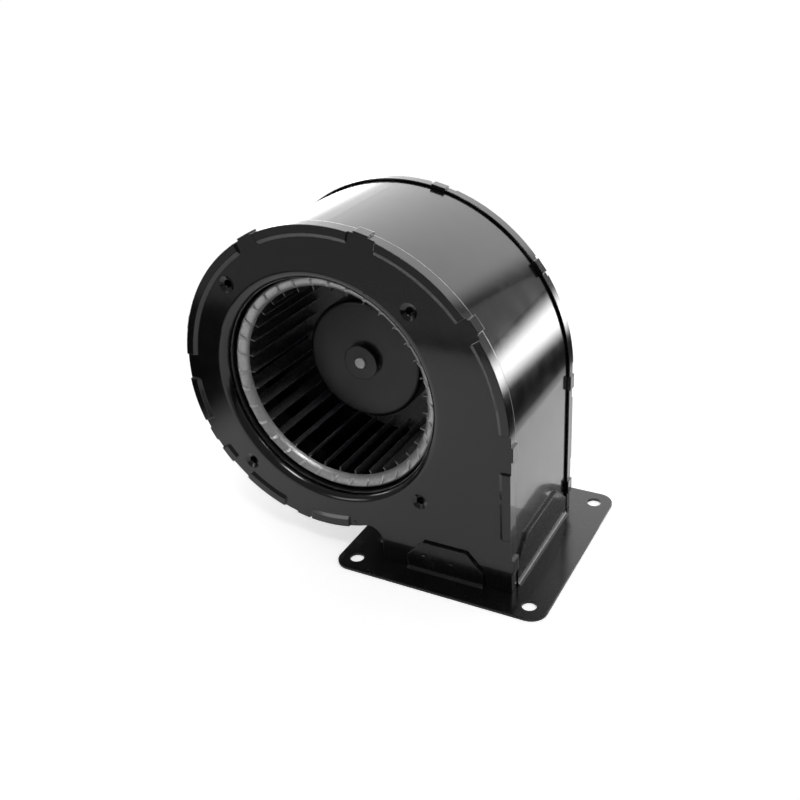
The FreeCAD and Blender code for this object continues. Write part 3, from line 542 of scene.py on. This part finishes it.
def lit_sheet(name, corners, strength, soft_x, soft_y, foot=0.0):
    sheet = sheet_object(name, corners, glow_material(name, strength, soft_x, soft_y, foot))
    layer = sheet.data.uv_layers.new(name="UVMap")
    for loop, uv in zip(layer.data, ((0, 0), (1, 0), (1, 1), (0, 1))):
        loop.uv = uv
    sheet.visible_camera = False
    return sheet


def only_mirrored(sheet):
    """Seen in gloss alone, so that it neither lights the floor nor shades it."""
    sheet.visible_diffuse = False
    sheet.visible_shadow = False


def add_lamp(name, azimuth, elevation, distance, width, height, strength, soft_x, soft_y,
             foot=0.0, mirrored=False):
    """Flat lamp that faces the object from a bearing counted from +Y towards +X."""
    az = math.radians(azimuth)
    el = math.radians(elevation)
    away = Vector((math.sin(az) * math.cos(el), math.cos(az) * math.cos(el), math.sin(el)))
    right = Vector((math.cos(az), -math.sin(az), 0.0))
    up = right.cross(away)
    middle = OBJECT_MIDDLE + away * distance
    w = right * width / 2
    h = up * height / 2
    corners = [middle - w - h, middle + w - h, middle + w + h, middle - w + h]
    lamp = lit_sheet(name, [tuple(c) for c in corners], strength, soft_x, soft_y, foot)
    if mirrored:
        only_mirrored(lamp)


def add_card(name, x, y, strength, soft):
    only_mirrored(lit_sheet(name, level_corners(x, y, CARD_Z), strength, soft, soft))


def add_lights():
    for name, values in LAMPS.items():
        add_lamp(name, **values)
    for name, values in CARDS.items():
        add_card(name, **values)


def add_world():
    """Fill light that is weaker in front; the camera sees plain white."""
    world = bpy.data.worlds.new("studio")
    bpy.context.scene.world = world
    n = Nodes(world, "ShaderNodeOutputWorld")
    fill = n.add("ShaderNodeBackground")
    depth = n.axes("Generated")["Y"]
    rise = n.spread(depth, FILL_TURN, (FILL_FRONT, FILL_BACK), curve="LINEAR")
    n.link(rise, fill.inputs["Strength"])
    white = n.add("ShaderNodeBackground")
    white.inputs["Strength"].default_value = 1.0
    for node in (fill, white):
        node.inputs["Color"].default_value = (1.0, 1.0, 1.0, 1.0)
    mix = n.add("ShaderNodeMixShader")
    n.link(n.camera_ray(), mix.inputs["Fac"])
    n.link(fill.outputs[0], mix.inputs[1])
    n.link(white.outputs[0], mix.inputs[2])
    n.surface(mix)


def fan_axis(frame):
    """The axis' point at Y = 0, from which polar places are counted."""
    return next(Vector(joint["pos_m"]) for joint in frame["joints"] if joint["name"] == FAN_JOINT)


def polar(axis, angle, radius, y, side):
    """Point round the fan's axis; side shifts it along the turn, downwards at angle 0."""
    a = math.radians(angle)
    x = radius * math.cos(a) + side * math.sin(a)
    z = radius * math.sin(a) - side * math.cos(a)
    return axis + Vector((x, y, z)) * MM


def ring_surface(radius):
    """Height of the front ring's bulged slope, from its eye to its shoulder."""
    (r0, y0), (r1, y1), (r2, y2) = RING_POINTS
    a = (radius - r1) * (radius - r2) / ((r0 - r1) * (r0 - r2))
    b = (radius - r0) * (radius - r2) / ((r1 - r0) * (r1 - r2))
    c = (radius - r0) * (radius - r1) / ((r2 - r0) * (r2 - r1))
    return a * y0 + b * y1 + c * y2


def tab_section(share):
    """Radius, side and height scale of a folded tab, from its inner end to its outer end."""
    a = math.radians(TAB_ARC[0] + (TAB_ARC[1] - TAB_ARC[0]) * share)
    radius = BLADE_ARC_MIDDLE[0] + BLADE_ARC_R * math.cos(a)
    side = BLADE_ARC_MIDDLE[1] + BLADE_ARC_R * math.sin(a)
    tall = math.sqrt(math.sin(math.pi * (TAB_TAPER + (1 - 2 * TAB_TAPER) * share)))
    return radius, side, tall


def add_skin(mesh, loops):
    """Closed solid over a row of corner loops, first to last."""
    for first, second in zip(loops, loops[1:]):
        for j in range(len(first)):
            k = (j + 1) % len(first)
            mesh.faces.new((first[j], first[k], second[k], second[j]))
    mesh.faces.new(list(reversed(loops[0])))
    mesh.faces.new(loops[-1])


def mesh_piece(name, mesh, body, material):
    bmesh.ops.recalc_face_normals(mesh, faces=mesh.faces)
    data = bpy.data.meshes.new(name)
    mesh.to_mesh(data)
    mesh.free()
    data.materials.append(material)
    piece = bpy.data.objects.new(name, data)
    bpy.context.scene.collection.objects.link(piece)
    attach(piece, body)


def add_ring_tabs(axis, material):
    """Blade tabs folded over on the ring: each rises from its slot and leans over."""
    mesh = bmesh.new()
    for i in range(BLADE_COUNT):
        angle = BLADE_PHASE + 360.0 / BLADE_COUNT * i
        loops = []
        for step in range(TAB_STEPS + 1):
            radius, side, tall = tab_section(step / TAB_STEPS)
            outline = [(lean, share * tall * TAB_RISE) for lean, share in TAB_OUTLINE]
            outline = [(-TAB_HALF, -TAB_ROOT), *outline, (TAB_HALF, -TAB_ROOT)]
            y = ring_surface(radius)
            loops.append([mesh.verts.new(polar(axis, angle, radius, y - up, side + lean))
                          for lean, up in outline])
        add_skin(mesh, loops)
    mesh_piece("ring_tab_folds", mesh, "impeller_rotor", material)


def add_press_dots(material):
    """Small pips left by the press on the front plate and by the welds on the flange's tab."""
    mesh = bmesh.new()
    turn = [2 * math.pi * i / DOT_SIDES for i in range(DOT_SIDES)]
    for x, y, z in PRESS_DOTS:
        loops = []
        for radius, up in DOT_PROFILE:
            circle = [(x + radius * math.cos(t), y - up, z + radius * math.sin(t)) for t in turn]
            loops.append([mesh.verts.new(Vector(point) * MM) for point in circle])
        add_skin(mesh, loops)
    mesh_piece("press_dots", mesh, "housing", material)


def main():
    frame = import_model()
    bpy.context.scene.view_settings.view_transform = "Standard"
    materials = make_materials()
    dress_nodes(frame, materials)
    add_ring_tabs(fan_axis(frame), materials["tab_folds"])
    add_press_dots(materials["housing_paint"])
    add_camera()
    add_floor()
    add_world()
    add_lights()


main()
